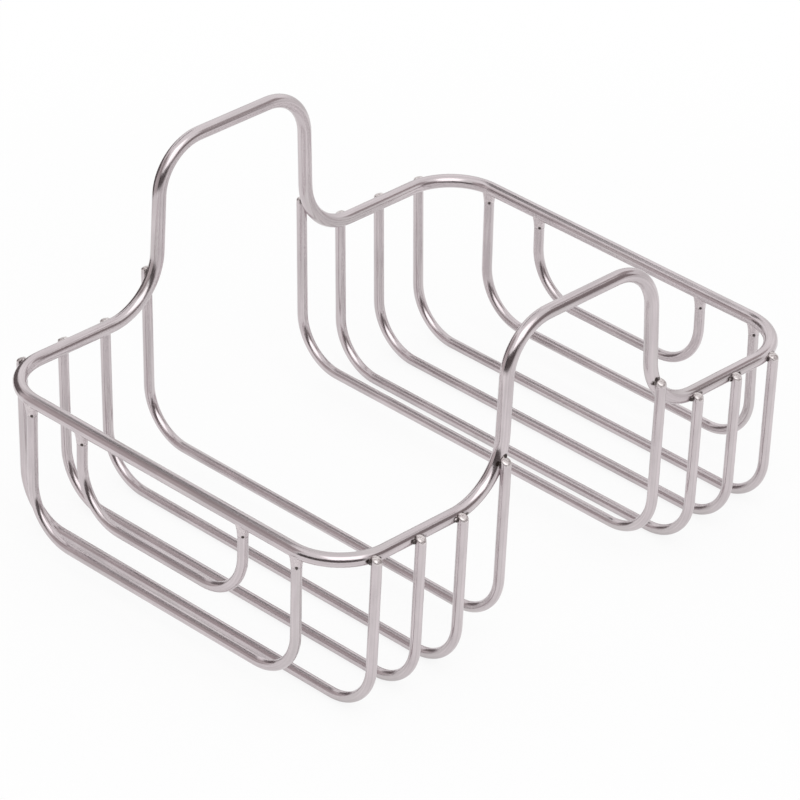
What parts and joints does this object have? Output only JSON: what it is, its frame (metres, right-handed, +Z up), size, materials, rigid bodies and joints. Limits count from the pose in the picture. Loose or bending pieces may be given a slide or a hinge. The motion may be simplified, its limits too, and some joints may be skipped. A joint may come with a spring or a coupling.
{
  "type": "sponge holder",
  "caption": "Welded steel wire sponge holder whose rim rises into humps that saddle a sink divider, with a hanging wire basket on either side.",
  "frame": {"origin": "middle of the floor, level with the underside of the floor wires", "axes": "+X along the floor wires and along the sink divider, +Y along the side bars from the front to the rear basket, +Z up"},
  "size_m": [0.143, 0.181, 0.1005],
  "materials": {
    "steel_wire": "polished drawn stainless wire with faint drawing lines along it",
    "weld_metal": "mottled bright and dark resistance weld"
  },
  "bodies": {
    "root": {"rim": "steel_wire", "front_floor_wire_1": "steel_wire", "front_floor_wire_2": "steel_wire", "front_floor_wire_3": "steel_wire", "front_divider_wire": "steel_wire", "front_outer_end_wire": "steel_wire", "front_inner_end_wire": "steel_wire", "rear_floor_wire_1": "steel_wire", "rear_floor_wire_2": "steel_wire", "rear_floor_wire_3": "steel_wire", "rear_divider_wire": "steel_wire", "rear_outer_end_wire": "steel_wire", "rear_inner_end_wire": "steel_wire", "front_left_lap_welds": "weld_metal", "front_right_lap_welds": "weld_metal", "front_outer_end_welds": "weld_metal", "front_inner_end_welds": "weld_metal", "rear_left_lap_welds": "weld_metal", "rear_right_lap_welds": "weld_metal", "rear_outer_end_welds": "weld_metal", "rear_inner_end_welds": "weld_metal"}
  },
  "joints": []
}
